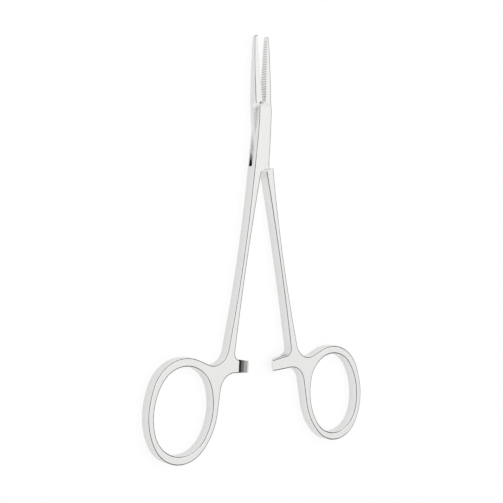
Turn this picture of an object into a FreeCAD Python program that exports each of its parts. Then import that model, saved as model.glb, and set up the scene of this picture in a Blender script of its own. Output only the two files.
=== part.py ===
# Mosquito forceps, 125 mm, straight, with a box lock.
# Millimetres. The forceps lies flat: +Z is its front face, +Y points along the jaws to the tips.
# The origin is on the pivot axis, in the plane on which the lock's underside rests.
# Each half is drawn closed, with its shank at +X and its jaw at -X, about a middle plane at z = 0.
# The male half stays that way round; the female half is turned over left to right.
# At the end both halves swing open about the pivot and are lifted onto the resting plane.
import FreeCAD, Part
import math
import os

V = FreeCAD.Vector

# Opening of the forceps as it lies, between the two halves, in degrees
opening_angle = 6.6

# Lock
lock_thickness = 3.9
lock_flat_half_length = 7.5
slot_width = 1.35
slot_middle = -0.48
slide_clearance = 0.03
cheek_shank_side = 2.45
cheek_corner_width = 2.35
cheek_jaw_side = 2.40
lock_top = 10.8
lock_bottom = 10.0
lock_edge_drop = 1.7
cheek_top_drop = 1.9
window_end_rise = 1.1

# Tongue of the male half, which fills the slot in the female half: it narrows towards the jaw
# on the shank's side and towards the shank on the jaw's side
tongue_half_width = 2.35
tongue_bend_distance = 1.0
tongue_shoulder_width = 2.80
tongue_shoulder_distance = 6.0
tongue_neck_width = 1.0
tongue_neck_distance = 7.45
tongue_neck_slope = 0.25
tongue_tail_width = 1.12
tongue_tail_distance = 7.4
tongue_tail_slope = 0.5
shoulder_clearance = 0.35
shoulder_slope = 0.46
shoulder_rise = 0.85

# Pivot pin, riveted and ground flush with both cheeks
pin_diameter = 1.9
pin_head_diameter = 2.6
pin_head_depth = 0.35
pin_running_clearance = 0.03

# Jaws
jaw_length = 19.65
jaw_root_width = 2.38
jaw_tip_width = 1.00
jaw_side_bulge = 0.18
jaw_root_thickness = 3.0
jaw_tip_thickness = 1.3
jaw_tip_radius = 0.60
jaw_blend_length = 1.4
jaw_face_clearance = 0.02

# Cross serrations of the jaw faces, from a little above the lock to a little below the tip
serration_pitch = 0.75
serration_width = 0.50
serration_depth = 0.20
serration_start = 1.2
serration_end = 1.1

# Shanks: offset of the shank's middle line and its width, at the lock, the waist and the ring
shank_thickness = 3.8
shank_blend_length = 9.0
shank_start_offset = 1.75
shank_waist_offset = 5.05
shank_end_offset = 8.00
shank_width_at_lock = 2.76
shank_waist_width = 1.46
shank_width_at_ring = 2.40
shank_waist_length = 28.0
shank_length = 50.5
edge_chamfer = 0.30

# Finger rings: upright ovals of arcs, leaning a little towards the shank, wider outside at the top.
# The gap is from the shank's middle line to the ring, and the drop from the shank's end to its top.
# Each end's arc is tighter than half the oval's width, so that its sides are flatter.
ring_gap = 4.355
ring_top_drop = 4.5
ring_lean = 6.0
ring_hole_width = 19.75
ring_hole_length = 24.85
ring_side_wall = 1.95
ring_end_wall = 2.575
hole_end_tightening = 0.675
outer_top_tightening = 0.375
outer_bottom_tightening = 1.625
ring_web_angle = 110.0
notch_radius = 5.0

# Ratchet arms, with the pocket between the shank's inner edge and the arm
arm_end_offset = 0.45
arm_drop = 6.0
arm_height = 3.4
arm_top_rise = 0.12
arm_low_rise = 0.02
arm_bottom_radius = 5.0
pocket_flare = 0.28
pocket_drop = 3.4

# Ratchet teeth
tooth_count = 4
tooth_pitch = 0.95
tooth_depth = 0.45
tooth_land = 0.12
first_tooth_offset = 1.2
crest_clearance = 0.03
arm_end_thickness = 0.8
step_offset = 5.74

# Worked out from the values above
half_opening = opening_angle / 2
mid_height = lock_thickness / 2
tongue_thickness = slot_width - 2 * slide_clearance
tip_distance = lock_top + jaw_length
serration_count = int((jaw_length - serration_start - serration_end) / serration_pitch)
shank_end_distance = lock_bottom + shank_length
shank_waist_distance = lock_bottom + shank_waist_length
shank_inner_start = shank_start_offset - shank_width_at_lock / 2
ring_outer_width = ring_hole_width + 2 * ring_side_wall
ring_outer_length = ring_hole_length + 2 * ring_end_wall
ring_hole_end_radius = ring_hole_width / 2 - hole_end_tightening
ring_outer_top_radius = ring_outer_width / 2 - outer_top_tightening
ring_outer_bottom_radius = ring_outer_width / 2 - outer_bottom_tightening
ring_centre_offset = shank_end_offset + ring_gap + ring_outer_width / 2
ring_centre_distance = shank_end_distance + ring_top_drop + ring_outer_length / 2
arm_top_distance = shank_end_distance + arm_drop

# How far the cutting shapes reach past the part
lock_reach = 10.0
reach = 2 * (ring_centre_distance + ring_outer_length)

# A face counts as level above this upward share of its normal, and as upright below this one
level_share = 0.8
upright_share = 0.2
tolerance = 0.01


def flat(x, y):
    return V(x, y, 0)


def line(first, last):
    return Part.makeLine(first, last)


def arc(first, middle, last):
    return Part.Arc(first, middle, last).toShape()


def arc_about(centre, first, last):
    # The shorter way round from one point to another.
    outward = ((first - centre) + (last - centre)).normalize()
    return arc(first, centre + outward * (first - centre).Length, last)


def tangent_arc(start, direction, end):
    # The arc that leaves start in this direction and reaches end, and its direction there.
    chord = end - start
    along = V(chord).normalize()
    across = V(-along.y, along.x, 0)
    heading = V(direction).normalize()
    turn = math.atan2(heading.dot(across), heading.dot(along))
    middle = start + chord * 0.5 + across * (chord.Length / 2 * math.tan(turn / 2))
    return arc(start, middle, end), along * math.cos(turn) - across * math.sin(turn)


def arc_onto_line(start, direction, line_point, line_direction):
    # The arc that leaves start in this direction and runs smoothly onto a line, and where it ends.
    corner = meeting(start, direction, line_point, line_direction)
    end = corner - line_direction * (corner - start).Length
    edge, _ = tangent_arc(start, direction, end)
    return edge, end


def rounded_corner(before, corner, after, radius):
    # The arc that rounds a corner between two straight runs, and where it leaves each of them.
    first = (before - corner).normalize()
    second = (after - corner).normalize()
    half_angle = first.getAngle(second) / 2
    start = corner + first * (radius / math.tan(half_angle))
    end = corner + second * (radius / math.tan(half_angle))
    middle = corner + (first + second).normalize() * (radius / math.sin(half_angle) - radius)
    return arc(start, middle, end), start, end


def meeting(point, direction, other_point, other_direction):
    # Where two straight lines cross.
    gap = other_point - point
    turn = direction.x * other_direction.y - direction.y * other_direction.x
    return point + direction * ((gap.x * other_direction.y - gap.y * other_direction.x) / turn)


def curve_through(points, start_direction, end_direction):
    curve = Part.BSplineCurve()
    curve.interpolate(Points=points, InitialTangent=start_direction, FinalTangent=end_direction)
    return curve.toShape()


def prism(edges, low, high):
    face = Part.Face(Part.Wire(Part.__sortEdges__(edges)))
    face.translate(V(0, 0, low))
    return face.extrude(V(0, 0, high - low))


def polygon_prism(points, low, high):
    corners = [flat(x, y) for x, y in points]
    return prism([line(first, last) for first, last in zip(corners, corners[1:] + corners[:1])], low, high)


# A finger ring's own directions, along and across its leaning oval
def ring_frame():
    lean = math.radians(ring_lean)
    along = flat(-math.sin(lean), math.cos(lean))
    across = flat(math.cos(lean), math.sin(lean))
    return flat(ring_centre_offset, -ring_centre_distance), along, across


# Half of a ring's oval, the upper or the lower one as end is +1 or -1: from its widest point on
# the inner side over a side arc, the end arc and a side arc to its widest point on the outer side
def half_oval(width, length, end_radius, end):
    centre, along, across = ring_frame()
    half_width = width / 2
    half_length = length / 2
    side_radius = (half_width**2 + half_length**2 - 2 * half_length * end_radius) / 2 / (half_width - end_radius)
    end_centre = centre + along * (end * (half_length - end_radius))
    inner_centre = centre + across * (side_radius - half_width)
    outer_centre = centre - across * (side_radius - half_width)
    inner_joint = end_centre + (end_centre - inner_centre).normalize() * end_radius
    outer_joint = end_centre + (end_centre - outer_centre).normalize() * end_radius
    inner_side = arc_about(inner_centre, centre - across * half_width, inner_joint)
    end_arc = arc_about(end_centre, inner_joint, outer_joint)
    outer_side = arc_about(outer_centre, outer_joint, centre + across * half_width)
    return inner_side, end_arc, outer_side


def finger_hole():
    upper = half_oval(ring_hole_width, ring_hole_length, ring_hole_end_radius, 1)
    lower = half_oval(ring_hole_width, ring_hole_length, ring_hole_end_radius, -1)
    return prism([*upper, *lower], -lock_thickness, lock_thickness)


# Inner and outer edge of the shank, each an arc from the lock past the waist to the ring
def shank_sides():
    stations = [
        (lock_bottom, shank_start_offset, shank_width_at_lock),
        (shank_waist_distance, shank_waist_offset, shank_waist_width),
        (shank_end_distance, shank_end_offset, shank_width_at_ring),
    ]
    inner = arc(*[flat(offset - width / 2, -distance) for distance, offset, width in stations])
    outer = arc(*[flat(offset + width / 2, -distance) for distance, offset, width in stations])
    return inner, outer


# The run of the outline from the lock's inner corner down the shank, round the ratchet arm
# and the ring, and back up to the lock's outer corner
def rear_edges():
    inner, outer = shank_sides()
    inner_end = inner.valueAt(inner.LastParameter)
    outer_start = outer.valueAt(outer.FirstParameter)
    outer_end = outer.valueAt(outer.LastParameter)
    inner_down = inner.tangentAt(inner.LastParameter)
    outer_down = outer.tangentAt(outer.LastParameter)

    arm_along = flat(1, arm_top_rise).normalize()
    arm_low_along = flat(1, arm_low_rise).normalize()
    arm_top = flat(-arm_end_offset, -arm_top_distance)
    arm_low = flat(-arm_end_offset, -arm_top_distance - arm_height)
    pocket = flat(inner_end.x + pocket_flare, -shank_end_distance - pocket_drop)
    flare, pocket_down = tangent_arc(inner_end, inner_down, pocket)
    arm_top_arc, arm_root = arc_onto_line(pocket, pocket_down, arm_top, arm_along)

    # The ring's inner side runs straight up from its widest point to the fillet under the arm
    centre, along, across = ring_frame()
    inner_widest = centre - across * (ring_outer_width / 2)
    arm_root_corner = meeting(inner_widest, along, arm_low, arm_low_along)
    arm_fillet, ring_touch, arm_touch = rounded_corner(inner_widest, arm_root_corner, arm_low, arm_bottom_radius)

    # The web leaves the ring's top arc as a straight run to the notch beside the shank
    lower = half_oval(ring_outer_width, ring_outer_length, ring_outer_bottom_radius, -1)
    _, top_arc, outer_side = half_oval(ring_outer_width, ring_outer_length, ring_outer_top_radius, 1)
    top_centre = centre + along * (ring_outer_length / 2 - ring_outer_top_radius)
    web_turn = math.radians(ring_web_angle)
    web_touch = top_centre + flat(math.cos(web_turn), math.sin(web_turn)) * ring_outer_top_radius
    web_along = flat(-math.sin(web_turn), math.cos(web_turn))
    shoulder = top_arc.valueAt(top_arc.LastParameter)
    notch_corner = meeting(web_touch, web_along, outer_end, outer_down)
    notch_arc, web_end, notch_top = rounded_corner(web_touch, notch_corner, outer_end, notch_radius)

    edges = [
        inner,
        flare,
        arm_top_arc,
        line(arm_root, arm_top),
        line(arm_top, arm_low),
        line(arm_low, arm_touch),
        arm_fillet,
        line(ring_touch, inner_widest),
        *lower,
        outer_side,
        arc_about(top_centre, shoulder, web_touch),
        line(web_touch, web_end),
        notch_arc,
        line(notch_top, outer_end),
        outer,
    ]
    lock_inner = inner.valueAt(inner.FirstParameter)
    outer_up = outer.tangentAt(outer.FirstParameter) * -1
    return edges, lock_inner, outer_start, outer_up


# The side of the jaw away from its face, a slight arc from the root to the tip: its points and
# its direction at the root
def jaw_side():
    root = flat(-jaw_root_width, lock_top)
    tip = flat(-jaw_face_clearance - jaw_tip_width, tip_distance - jaw_tip_radius)
    chord = tip - root
    outward = V(-chord.y, chord.x, 0).normalize()
    middle = root + chord * 0.5 + outward * jaw_side_bulge
    side = arc(root, middle, tip)
    return root, middle, tip, side.tangentAt(side.FirstParameter)


# Jaw outline from its face's corner at the lock round the tip to the root of its side
def jaw_edges():
    root, middle, tip, _ = jaw_side()
    side = arc(root, middle, tip)
    face_corner = flat(-jaw_face_clearance, lock_top)
    face_tip = flat(-jaw_face_clearance, tip_distance)
    round_end = flat(-jaw_face_clearance - jaw_tip_width + jaw_tip_radius, tip_distance)
    tip_arc, _ = tangent_arc(tip, side.tangentAt(side.LastParameter), round_end)
    return [line(face_corner, face_tip), line(face_tip, round_end), tip_arc, side]


def male_outline():
    rear, inner, outer, outer_up = rear_edges()
    root, _, _, jaw_up = jaw_side()
    face_corner = flat(-jaw_face_clearance, lock_top)
    shoulder = flat(tongue_shoulder_width, -tongue_shoulder_distance)
    shoulder_arc, shoulder_up = tangent_arc(outer, outer_up, shoulder)
    shank_side = curve_through([
        shoulder,
        flat(tongue_half_width, -tongue_bend_distance),
        flat(tongue_neck_width, tongue_neck_distance),
        face_corner,
    ], shoulder_up, flat(-tongue_neck_slope, 1))
    tongue_side = curve_through([
        inner,
        flat(-tongue_tail_width, -tongue_tail_distance),
        flat(-tongue_half_width, tongue_bend_distance),
        root,
    ], flat(-tongue_tail_slope, 1), jaw_up)
    return rear + jaw_edges() + [shoulder_arc, shank_side, tongue_side]


def female_outline():
    rear, inner, outer, outer_up = rear_edges()
    root, _, _, jaw_up = jaw_side()
    face_corner = flat(-jaw_face_clearance, lock_top)
    top_corner = flat(cheek_corner_width, lock_top - cheek_top_drop)
    low_corner = flat(-cheek_jaw_side, -lock_bottom + lock_edge_drop)
    cheek_side = flat(cheek_shank_side, 0)
    lower_arc, side_up = tangent_arc(outer, outer_up, cheek_side)
    upper_arc, _ = tangent_arc(cheek_side, side_up, top_corner)
    jaw_side_arc, _ = tangent_arc(root, jaw_up * -1, low_corner)
    lock_edges = [
        lower_arc,
        upper_arc,
        line(top_corner, face_corner),
        line(inner, low_corner),
        jaw_side_arc,
    ]
    return rear + jaw_edges() + lock_edges


# Side profile: thick at the lock, easing into the shank behind it and the tapered jaw before it
def thickness_body():
    jaw_z = jaw_root_thickness / 2
    tip_z = jaw_tip_thickness / 2
    lock_z = lock_thickness / 2
    shank_z = shank_thickness / 2
    front = lock_flat_half_length
    jaw_y = lock_top + jaw_blend_length
    back_y = -front - shank_blend_length
    end_y = -reach
    tip_y = tip_distance + jaw_tip_width

    def at(y, z):
        return V(-reach, y, z)

    def ease(y0, z0, y1, z1):
        pull = (y1 - y0) / 2
        curve = Part.BezierCurve()
        curve.setPoles([at(y0, z0), at(y0 + pull, z0), at(y1 - pull, z1), at(y1, z1)])
        return curve.toShape()

    def side(sign):
        return [
            line(at(tip_y, sign * tip_z), at(jaw_y, sign * jaw_z)),
            ease(jaw_y, sign * jaw_z, front, sign * lock_z),
            line(at(front, sign * lock_z), at(-front, sign * lock_z)),
            ease(-front, sign * lock_z, back_y, sign * shank_z),
            line(at(back_y, sign * shank_z), at(end_y, sign * shank_z)),
        ]

    ends = [
        line(at(end_y, -shank_z), at(end_y, shank_z)),
        line(at(tip_y, -tip_z), at(tip_y, tip_z)),
    ]
    face = Part.Face(Part.Wire(Part.__sortEdges__(side(-1) + side(1) + ends)))
    return face.extrude(V(2 * reach, 0, 0))


# A blank half: the outline cut from the side profile, with the finger hole
def blank(outline):
    body = prism(outline, -lock_thickness, lock_thickness)
    return body.common(thickness_body()).cut(finger_hole())


# Rims between the side walls and the front and back faces, at places that keep() accepts
def break_rims(body, keep):
    rims = []
    for edge in body.Edges:
        middle = edge.valueAt((edge.FirstParameter + edge.LastParameter) / 2)
        steepness = []
        for face in body.ancestorsOfType(edge, Part.Face):
            u, v = face.Surface.parameter(middle)
            steepness.append(abs(face.normalAt(u, v).z))
        if max(steepness) > level_share and min(steepness) < upright_share and keep(middle):
            rims.append(edge)
    return body.makeChamfer(edge_chamfer, rims)


def on_jaw_face(point):
    return abs(point.x + jaw_face_clearance) < tolerance and point.y > lock_top


def on_arm_end(point):
    return abs(point.x + arm_end_offset) < tolerance and point.y < -lock_bottom


# Room for the two cheeks: above and below the tongue the male half is cut back to its shoulders
def cheek_room():
    gap = shoulder_clearance
    low_edge = -lock_bottom + shoulder_rise
    outline = [
        (lock_reach, lock_top + gap + lock_reach * shoulder_slope),
        (-lock_reach, lock_top + gap - lock_reach * shoulder_slope),
        (-lock_reach, -lock_bottom - gap),
        (shank_inner_start - gap, -lock_bottom - gap),
        (cheek_jaw_side, low_edge),
        (lock_reach, low_edge),
    ]
    low = polygon_prism(outline, -lock_thickness, slot_middle - tongue_thickness / 2)
    high = polygon_prism(outline, slot_middle + tongue_thickness / 2, lock_thickness)
    return [low, high]


# Room for the tongue: a window right through the female half from side to side
def tongue_window():
    slope = window_end_rise / cheek_shank_side
    outline = [
        (lock_reach, -lock_bottom + (lock_reach - shank_inner_start) * slope),
        (shank_inner_start, -lock_bottom),
        (shank_inner_start, -lock_bottom - lock_edge_drop),
        (-lock_reach, -lock_bottom - lock_edge_drop),
        (-lock_reach, lock_top - lock_reach * slope),
        (-jaw_face_clearance, lock_top),
        (-jaw_face_clearance, lock_top + lock_edge_drop),
        (lock_reach, lock_top + lock_edge_drop),
    ]
    return polygon_prism(outline, slot_middle - slot_width / 2, slot_middle + slot_width / 2)


# Cross grooves in a jaw face; shift is in pitches, so that the two jaws' grooves can interlock
def serrations(shift):
    mouth_x = serration_depth - jaw_face_clearance
    root_x = -serration_depth - jaw_face_clearance
    grooves = []
    for index in range(serration_count):
        y = lock_top + serration_start + (index + shift) * serration_pitch
        outline = [(mouth_x, y - serration_width), (mouth_x, y + serration_width), (root_x, y)]
        grooves.append(polygon_prism(outline, -lock_thickness, lock_thickness))
    return grooves


# What is cut from a ratchet arm to leave its hooked teeth: side is -1 for teeth that face
# the back and +1 for teeth that face the front
def ratchet_cut(side):
    outside = side * lock_thickness
    crest = -side * crest_clearance
    root = crest - side * tooth_depth
    tip = -side * (shank_thickness / 2 - arm_end_thickness)
    past_end = -arm_end_offset - tooth_pitch
    profile = [(step_offset, outside), (step_offset, root)]
    for index in reversed(range(tooth_count)):
        x = first_tooth_offset + index * tooth_pitch
        profile += [(x, root), (x, crest), (x - tooth_land, crest)]
    profile += [(-arm_end_offset, tip), (past_end, tip), (past_end, outside)]
    y = -arm_top_distance + arm_height
    corners = [V(x, y, z) for x, z in profile]
    face = Part.Face(Part.makePolygon(corners + corners[:1]))
    return face.extrude(V(0, -lock_reach, 0))


# The pin with its two countersunk heads, which also gives the hole that it fills in the cheeks
def pin_body():
    half = lock_thickness / 2
    neck = half - pin_head_depth
    radius = pin_diameter / 2
    head_radius = pin_head_diameter / 2
    corners = [
        V(0, 0, -half),
        V(head_radius, 0, -half),
        V(radius, 0, -neck),
        V(radius, 0, neck),
        V(head_radius, 0, half),
        V(0, 0, half),
    ]
    face = Part.Face(Part.makePolygon(corners + corners[:1]))
    return face.revolve(V(0, 0, 0), V(0, 0, 1), 360)


def female_half():
    body = blank(female_outline())

    def on_lock_step(point):
        past_top = lock_top - cheek_top_drop < point.y < lock_top and point.x > -jaw_face_clearance
        past_bottom = -lock_bottom < point.y < -lock_bottom + lock_edge_drop and point.x < shank_start_offset
        return past_top or past_bottom

    def keep(point):
        return not (on_jaw_face(point) or on_arm_end(point) or on_lock_step(point))

    body = break_rims(body, keep)
    return body.cut([tongue_window(), ratchet_cut(1), pin_body()] + serrations(0.5))


def male_half():
    body = blank(male_outline()).cut(cheek_room())

    def on_shoulder(point):
        low = abs(point.y + lock_bottom) < lock_edge_drop and point.x < tongue_shoulder_width
        high = abs(point.y - lock_top) < lock_edge_drop and point.x > -cheek_jaw_side
        return low or high

    def keep(point):
        on_tongue = abs(abs(point.z - slot_middle) - tongue_thickness / 2) < tolerance
        return not (on_tongue or on_shoulder(point) or on_jaw_face(point) or on_arm_end(point))

    body = break_rims(body, keep)
    bore = Part.makeCylinder(pin_diameter / 2 + pin_running_clearance, lock_thickness, V(0, 0, -mid_height))
    return body.cut([ratchet_cut(-1), bore] + serrations(0))


def placed(shape, angle):
    shape.rotate(V(0, 0, 0), V(0, 0, 1), angle)
    shape.translate(V(0, 0, mid_height))
    return shape


def main():
    os.makedirs("parts", exist_ok=True)
    pieces = {
        "female_half": placed(female_half().mirror(V(0, 0, 0), V(1, 0, 0)), -half_opening),
        "male_half": placed(male_half(), half_opening),
        "pivot_pin": placed(pin_body(), 0),
    }
    for name, shape in pieces.items():
        shape.exportStep("parts/" + name + ".step")


if __name__ == "__main__":
    main()
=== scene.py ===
import math

import bmesh
import bpy
import numpy as np
from mathutils import Matrix, Vector


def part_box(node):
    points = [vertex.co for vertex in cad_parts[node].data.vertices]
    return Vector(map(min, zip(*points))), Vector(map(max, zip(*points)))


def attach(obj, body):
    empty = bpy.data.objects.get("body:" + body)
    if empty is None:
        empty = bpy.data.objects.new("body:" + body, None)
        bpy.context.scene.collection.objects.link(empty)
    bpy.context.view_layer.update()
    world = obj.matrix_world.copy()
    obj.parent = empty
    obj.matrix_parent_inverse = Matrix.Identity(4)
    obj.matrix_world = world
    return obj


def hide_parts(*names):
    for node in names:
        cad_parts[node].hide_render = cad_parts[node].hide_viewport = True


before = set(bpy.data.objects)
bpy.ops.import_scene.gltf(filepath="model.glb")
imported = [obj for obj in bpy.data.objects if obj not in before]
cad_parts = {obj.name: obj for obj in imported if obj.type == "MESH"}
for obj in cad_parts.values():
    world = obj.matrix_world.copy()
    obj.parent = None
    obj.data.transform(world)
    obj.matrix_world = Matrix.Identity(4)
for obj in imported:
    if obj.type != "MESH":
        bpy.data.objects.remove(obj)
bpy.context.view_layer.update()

# The two halves: stainless steel forgings with shank, ring, ratchet arm and jaw in one piece.
# Ground flat on their faces, then given a fine satin along their length, with every long rim eased
# on a wheel, so a rim is a small round and never a sharp corner.
mm = 0.001
half_opening = math.radians(3.3)
steel_hex = "F4F4F3"
# Painted shade: the grey of the jaw grooves' roots and the near-black of the ratchet's trench
groove_shade_hex = "D8D8D6"
trench_shade_hex = "1E1E1E"
grain_width = 0.12 * mm
grain_stretch = 14.0
grain_detail = 4.0
grain_height = 0.01 * mm
grain_relief = 0.06
grain_low = 0.3
grain_high = 0.7
streak_depth = 0.06
cloud_size = 9.0 * mm
cloud_detail = 3.0
satin_roughness = 0.15
polish_spread = 0.03

# The rims: each chamfer has two edges, which bend by less than a right angle
rim_round = 0.20 * mm
rim_steps = 4
rim_least = 30
rim_most = 65
chamfer_lean = (0.5, 0.85)
sharp_angle = 28
merge_distance = 0.002 * mm
same_plane = math.radians(0.3)
pin_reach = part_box("pivot_pin")[1][0] + 0.3 * mm

# Where the painted shade lies in the drawn, closed half, and how dark it is: the jaw grooves, and the
# ratchet's roots
jaw_start = 10.8 * mm
jaw_face = -0.02 * mm
groove_depth = 0.20 * mm
groove_margin = 1.1
wall_lean = 0.3
# How dark the painted shade is at a groove's root
serration_shade = 0.4
ratchet_start = -60 * mm
ratchet_middle = 1.95 * mm
ratchet_depth = 0.6 * mm
trench_start = 4.0 * mm
trench_end = 5.8 * mm
# How dark the painted shade is at the inmost ratchet tooth
tooth_shade = 0.90


def linear(hex_colour):
    """sRGB hex to linear: the standard curve, with its straight part near black."""
    values = np.array([int(hex_colour[i:i + 2], 16) for i in (0, 2, 4)]) / 255
    lit = np.where(values <= 0.04045, values / 12.92, ((values + 0.055) / 1.055) ** 2.4)
    return [float(v) for v in lit] + [1.0]


def node(tree, kind, settings=None, second=None, **links):
    """Adds a node. Settings are its own properties. Links feed its sockets by name, and second
    feeds its second socket where both have one name, each with an output or with a value."""
    made = tree.nodes.new(kind)
    for key, value in (settings or {}).items():
        setattr(made, key, value)
    feeds = [(made.inputs[name.replace("_", " ")], value) for name, value in links.items()]
    if second is not None:
        feeds.append((made.inputs[1], second))
    for socket, value in feeds:
        if isinstance(value, bpy.types.NodeSocket):
            tree.links.new(value, socket)
        else:
            socket.default_value = value
    return made


def satin_steel_with_painted_shade(name, turn):
    """Satin stainless steel: noise stretched along the piece gives the grain a faint tone and
    relief, and soft clouds vary the polish. Painted shade greys the roots of the jaw grooves, and
    painted shade darkens the ratchet towards its inner end, to nearly black in the trench there."""
    material = bpy.data.materials.new(name)
    material.use_nodes = True
    tree = material.node_tree
    tree.nodes.clear()
    place = node(tree, "ShaderNodeTexCoord")
    along = node(tree, "ShaderNodeMapping", Vector=place.outputs["Object"], Rotation=(0, 0, turn),
                 Scale=(1, 1 / grain_stretch, 1))
    grain = node(tree, "ShaderNodeTexNoise", Vector=along.outputs["Vector"], Scale=1 / grain_width,
                 Detail=grain_detail)
    clouds = node(tree, "ShaderNodeTexNoise", Vector=place.outputs["Object"], Scale=1 / cloud_size,
                  Detail=cloud_detail)
    polish = node(tree, "ShaderNodeMapRange", Value=clouds.outputs["Fac"],
                  To_Min=satin_roughness - polish_spread, To_Max=satin_roughness + polish_spread)
    relief = node(tree, "ShaderNodeBump", Height=grain.outputs["Fac"], Strength=grain_relief,
                  Distance=grain_height)
    # Painted shade, read from the mesh: greyer steel in the groove roots, near-black in the ratchet's
    # trench
    painted_shade = node(tree, "ShaderNodeAttribute", {"attribute_name": "painted_shade"})
    tone = node(tree, "ShaderNodeValToRGB", Fac=painted_shade.outputs["Fac"])
    tone.color_ramp.elements[0].color = linear(steel_hex)
    tone.color_ramp.elements[1].color = linear(trench_shade_hex)
    tone.color_ramp.elements.new(serration_shade).color = linear(groove_shade_hex)
    streaks = node(tree, "ShaderNodeMapRange", Value=grain.outputs["Fac"], From_Min=grain_low,
                   From_Max=grain_high, To_Min=1 - streak_depth)
    streaked = node(tree, "ShaderNodeVectorMath", {"operation": "SCALE"}, Vector=tone.outputs["Color"],
                    Scale=streaks.outputs["Result"])
    steel = node(tree, "ShaderNodeBsdfPrincipled", Base_Color=streaked.outputs["Vector"], Metallic=1.0,
                 Roughness=polish.outputs["Result"], Normal=relief.outputs["Normal"])
    node(tree, "ShaderNodeOutputMaterial", Surface=steel.outputs["BSDF"])
    return material


def mark_painted_shade(mesh, turn):
    """Painted shade, as an attribute on the corners of the jaw's groove walls and the ratchet only:
    it rises evenly from 0 at the flat of the jaw face to the groove shade at a groove's root, and
    along the ratchet's teeth from 0 at the arm's end to the tooth shade at the inmost tooth. It is 1,
    nearly black, in the trench behind that tooth."""
    points = np.empty(len(mesh.vertices) * 3)
    mesh.vertices.foreach_get("co", points)
    x, y, z = points.reshape(-1, 3).T
    drawn_x = (x * math.cos(turn) - y * math.sin(turn)) * (-1 if turn > 0 else 1)
    drawn_y = x * math.sin(turn) + y * math.cos(turn)
    corner_point = np.empty(len(mesh.loops), dtype=np.int32)
    mesh.loops.foreach_get("vertex_index", corner_point)
    face_size = np.empty(len(mesh.polygons), dtype=np.int32)
    mesh.polygons.foreach_get("loop_total", face_size)
    upward = np.empty(len(mesh.polygons) * 3)
    mesh.polygons.foreach_get("normal", upward)
    in_wall = np.repeat(np.abs(upward[2::3]), face_size) < wall_lean
    # Painted shade in the jaw: darker towards each groove's root
    depth = ((jaw_face - drawn_x) / groove_depth)[corner_point]
    in_jaw = (drawn_y > jaw_start)[corner_point]
    in_groove = in_jaw & in_wall & (depth > 0) & (depth < groove_margin)
    under_crest = ((ratchet_middle - z) * (1 if turn > 0 else -1))[corner_point]
    along_arm = drawn_x[corner_point]
    in_ratchet = (drawn_y < ratchet_start)[corner_point] & (under_crest > 0) & (under_crest < ratchet_depth)
    in_ratchet &= along_arm < trench_end
    # Painted shade along the ratchet: darker towards the inmost tooth, nearly black in the trench
    teeth = tooth_shade * np.clip(along_arm / trench_start, 0, 1)
    ratchet = np.where(along_arm > trench_start, 1.0, teeth)
    tone = np.where(in_groove, np.clip(depth, 0, 1) * serration_shade, np.where(in_ratchet, ratchet, 0.0))
    painted_shade = mesh.attributes.new("painted_shade", "FLOAT", "CORNER")
    painted_shade.data.foreach_set("value", tone.astype(np.float32))


def is_chamfer(face):
    """The flat band of a rim leans halfway between the wall and the ground face."""
    return chamfer_lean[0] < abs(face.normal.z) < chamfer_lean[1]


def is_rim(edge):
    """An outer edge of a chamfer, but not of the countersink in which the pin's head sits."""
    if len(edge.link_faces) != 2 or not edge.is_convex:
        return False
    middle = (edge.verts[0].co + edge.verts[1].co) / 2
    if middle.xy.length <= pin_reach or not any(is_chamfer(face) for face in edge.link_faces):
        return False
    return rim_least < math.degrees(edge.calc_face_angle()) < rim_most


def dressed(mesh, steel, body, cad_name):
    """Puts a finished mesh in the scene, in place of the CAD node that it is a copy of."""
    piece = bpy.data.objects.new(mesh.name, mesh)
    bpy.context.scene.collection.objects.link(piece)
    mesh.materials.clear()
    mesh.materials.append(steel)
    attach(piece, body)
    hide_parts(cad_name)


def eased(name, body, turn):
    """A merged copy of a half with its rims rounded: both edges of each chamfer get an arc of
    rim_round, and the shading sweeps over that strip alone, so that the ground faces stay flat."""
    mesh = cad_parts[name].data.copy()
    mesh.name = name + "_eased"
    work = bmesh.new()
    work.from_mesh(mesh)
    bmesh.ops.remove_doubles(work, verts=work.verts, dist=merge_distance)
    bmesh.ops.dissolve_limit(work, angle_limit=same_plane, verts=work.verts, edges=work.edges)
    rims = [edge for edge in work.edges if is_rim(edge)]
    rounded = bmesh.ops.bevel(work, geom=rims, offset=rim_round, offset_type="OFFSET", segments=rim_steps,
                              profile=0.5, affect="EDGES", clamp_overlap=False)
    work.normal_update()
    strip = set(rounded["faces"]) | {face for face in work.faces if is_chamfer(face)}
    for face in work.faces:
        face.smooth = True
    for edge in work.edges:
        if len(edge.link_faces) == 2:
            first, other = edge.link_faces
            border = (first in strip) != (other in strip)
            edge.smooth = not border and math.degrees(edge.calc_face_angle(0)) < sharp_angle
    work.to_mesh(mesh)
    work.free()
    mark_painted_shade(mesh, turn)
    dressed(mesh, satin_steel_with_painted_shade(name + "_satin", turn), body, name)


eased("female_half", "female", half_opening)
eased("male_half", "male", -half_opening)

# The pivot pin: a steel rivet through both cheeks, its heads ground flush with them and given
# the same satin. It turns with the female half, so it is turned with that half's hole.
rivet_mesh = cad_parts["pivot_pin"].data.copy()
rivet_mesh.name = "pivot_pin_ground"
rivet_mesh.transform(Matrix.Rotation(-half_opening, 4, "Z"))
dressed(rivet_mesh, satin_steel_with_painted_shade("pivot_pin_satin", 0), "female", "pivot_pin")

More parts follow.
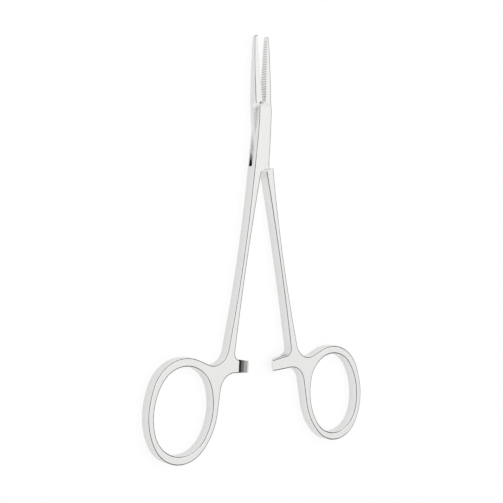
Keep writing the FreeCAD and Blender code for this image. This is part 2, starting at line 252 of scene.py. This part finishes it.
# The floor: a plain white sheet on which the forceps lies. It is nearly white in the steel and
# white to the camera, mostly by a glow of its own. The rest of it is lit, so it keeps the soft
# shadow. Its level under this light is floor_light.
floor_size = 4.0
camera_lit_share = 0.16
mirrored_lit_share = 0.35
mirrored_level = 0.87
floor_light = 0.55
bpy.ops.mesh.primitive_plane_add(size=floor_size, location=(0, 0, 0))
floor = bpy.context.object
floor.name = "floor"
sheet = bpy.data.materials.new("white_sheet")
sheet.use_nodes = True
paper = sheet.node_tree
paper.nodes.clear()
ray = node(paper, "ShaderNodeLightPath")
by_camera = ray.outputs["Is Camera Ray"]
in_mirrors = node(paper, "ShaderNodeMath", {"operation": "MAXIMUM"}, Value=ray.outputs["Is Glossy Ray"],
                  second=ray.outputs["Is Transmission Ray"])
seen = node(paper, "ShaderNodeMath", {"operation": "MAXIMUM"}, Value=by_camera,
            second=in_mirrors.outputs["Value"])
sheet_level = node(paper, "ShaderNodeMapRange", Value=by_camera, To_Min=mirrored_level)
lit_share = node(paper, "ShaderNodeMapRange", Value=by_camera, To_Min=mirrored_lit_share,
                 To_Max=camera_lit_share)
glow_share = node(paper, "ShaderNodeMath", {"operation": "SUBTRACT"}, Value=sheet_level.outputs["Result"],
                  second=lit_share.outputs["Result"])
glow_level = node(paper, "ShaderNodeMath", {"operation": "MULTIPLY"}, Value=glow_share.outputs["Value"],
                  second=seen.outputs["Value"])
lit_colour = node(paper, "ShaderNodeMath", {"operation": "DIVIDE"}, Value=lit_share.outputs["Result"],
                  second=floor_light)
lit_part = node(paper, "ShaderNodeBsdfDiffuse", Color=lit_colour.outputs["Value"])
glow = node(paper, "ShaderNodeEmission", Strength=glow_level.outputs["Value"])
both = node(paper, "ShaderNodeAddShader", Shader=lit_part.outputs["BSDF"], second=glow.outputs["Emission"])
node(paper, "ShaderNodeOutputMaterial", Surface=both.outputs["Shader"])
floor.data.materials.append(sheet)

# Soft light, as in a photographer's tent: its white roof lights the ground faces, and the dark
# band between roof and horizon gives each rounded rim a fine dark line. The roof hangs a little
# to the right and back, and is a little dimmer over the rings.
roof_lean_right = math.radians(5)
roof_lean_back = math.radians(2)
roof_edge = (math.radians(45.5), math.radians(49))
horizon_edge = (math.radians(81), math.radians(85))
band_level = 0.05
ring_end_level = 0.90
fall_reach = 0.25
world = bpy.data.worlds.new("light_tent")
bpy.context.scene.world = world
world.use_nodes = True
tent = world.node_tree
tent.nodes.clear()
sky = node(tent, "ShaderNodeTexCoord")
apart = node(tent, "ShaderNodeSeparateXYZ", Vector=sky.outputs["Generated"])
roof_middle = Vector((math.tan(roof_lean_right), math.tan(roof_lean_back), 1)).normalized()
towards = node(tent, "ShaderNodeVectorMath", {"operation": "DOT_PRODUCT"}, Vector=sky.outputs["Generated"],
               second=roof_middle)
from_roof = node(tent, "ShaderNodeMath", {"operation": "ARCCOSINE"}, Value=towards.outputs["Value"])
from_top = node(tent, "ShaderNodeMath", {"operation": "ARCCOSINE"}, Value=apart.outputs["Z"])
soft = {"interpolation_type": "SMOOTHSTEP"}
roof = node(tent, "ShaderNodeMapRange", soft, Value=from_roof.outputs["Value"], From_Min=roof_edge[0],
            From_Max=roof_edge[1], To_Min=1.0, To_Max=band_level)
horizon = node(tent, "ShaderNodeMapRange", soft, Value=from_top.outputs["Value"], From_Min=horizon_edge[0],
               From_Max=horizon_edge[1])
wall = node(tent, "ShaderNodeMath", {"operation": "MAXIMUM"}, Value=roof.outputs["Result"],
            second=horizon.outputs["Result"])
fall = node(tent, "ShaderNodeMapRange", Value=apart.outputs["Y"], From_Min=-fall_reach,
            From_Max=fall_reach, To_Min=ring_end_level)
shade = node(tent, "ShaderNodeMath", {"operation": "MULTIPLY"}, Value=wall.outputs["Value"],
             second=fall.outputs["Result"])
light = node(tent, "ShaderNodeBackground", Color=shade.outputs["Value"], Strength=1.0)
node(tent, "ShaderNodeOutputWorld", Surface=light.outputs["Background"])

# The camera, at the photo's viewing angle
camera_place = Vector((-184.33, -33.27, 226.0)) * mm
camera_aim = Vector((-4.74, -33.88, 3.55)) * mm
camera_roll = math.radians(0.09)
photo_width = 503
focal_pixels = 972.73
film_width = 36.0
nearest_seen = 10 * mm
lens_data = bpy.data.cameras.new("camera")
camera = bpy.data.objects.new("camera", lens_data)
bpy.context.scene.collection.objects.link(camera)
back = (camera_place - camera_aim).normalized()
right = Vector((0, 1, 0)).cross(back).normalized()
up = back.cross(right)
right_rolled = right * math.cos(camera_roll) + up * math.sin(camera_roll)
up_rolled = up * math.cos(camera_roll) - right * math.sin(camera_roll)
facing = Matrix((right_rolled, up_rolled, back)).transposed().to_4x4()
camera.matrix_world = Matrix.Translation(camera_place) @ facing
lens_data.sensor_fit = "HORIZONTAL"
lens_data.sensor_width = film_width
lens_data.lens = focal_pixels / photo_width * film_width
lens_data.clip_start = nearest_seen
bpy.context.scene.camera = camera
bpy.context.scene.view_settings.view_transform = "Standard"
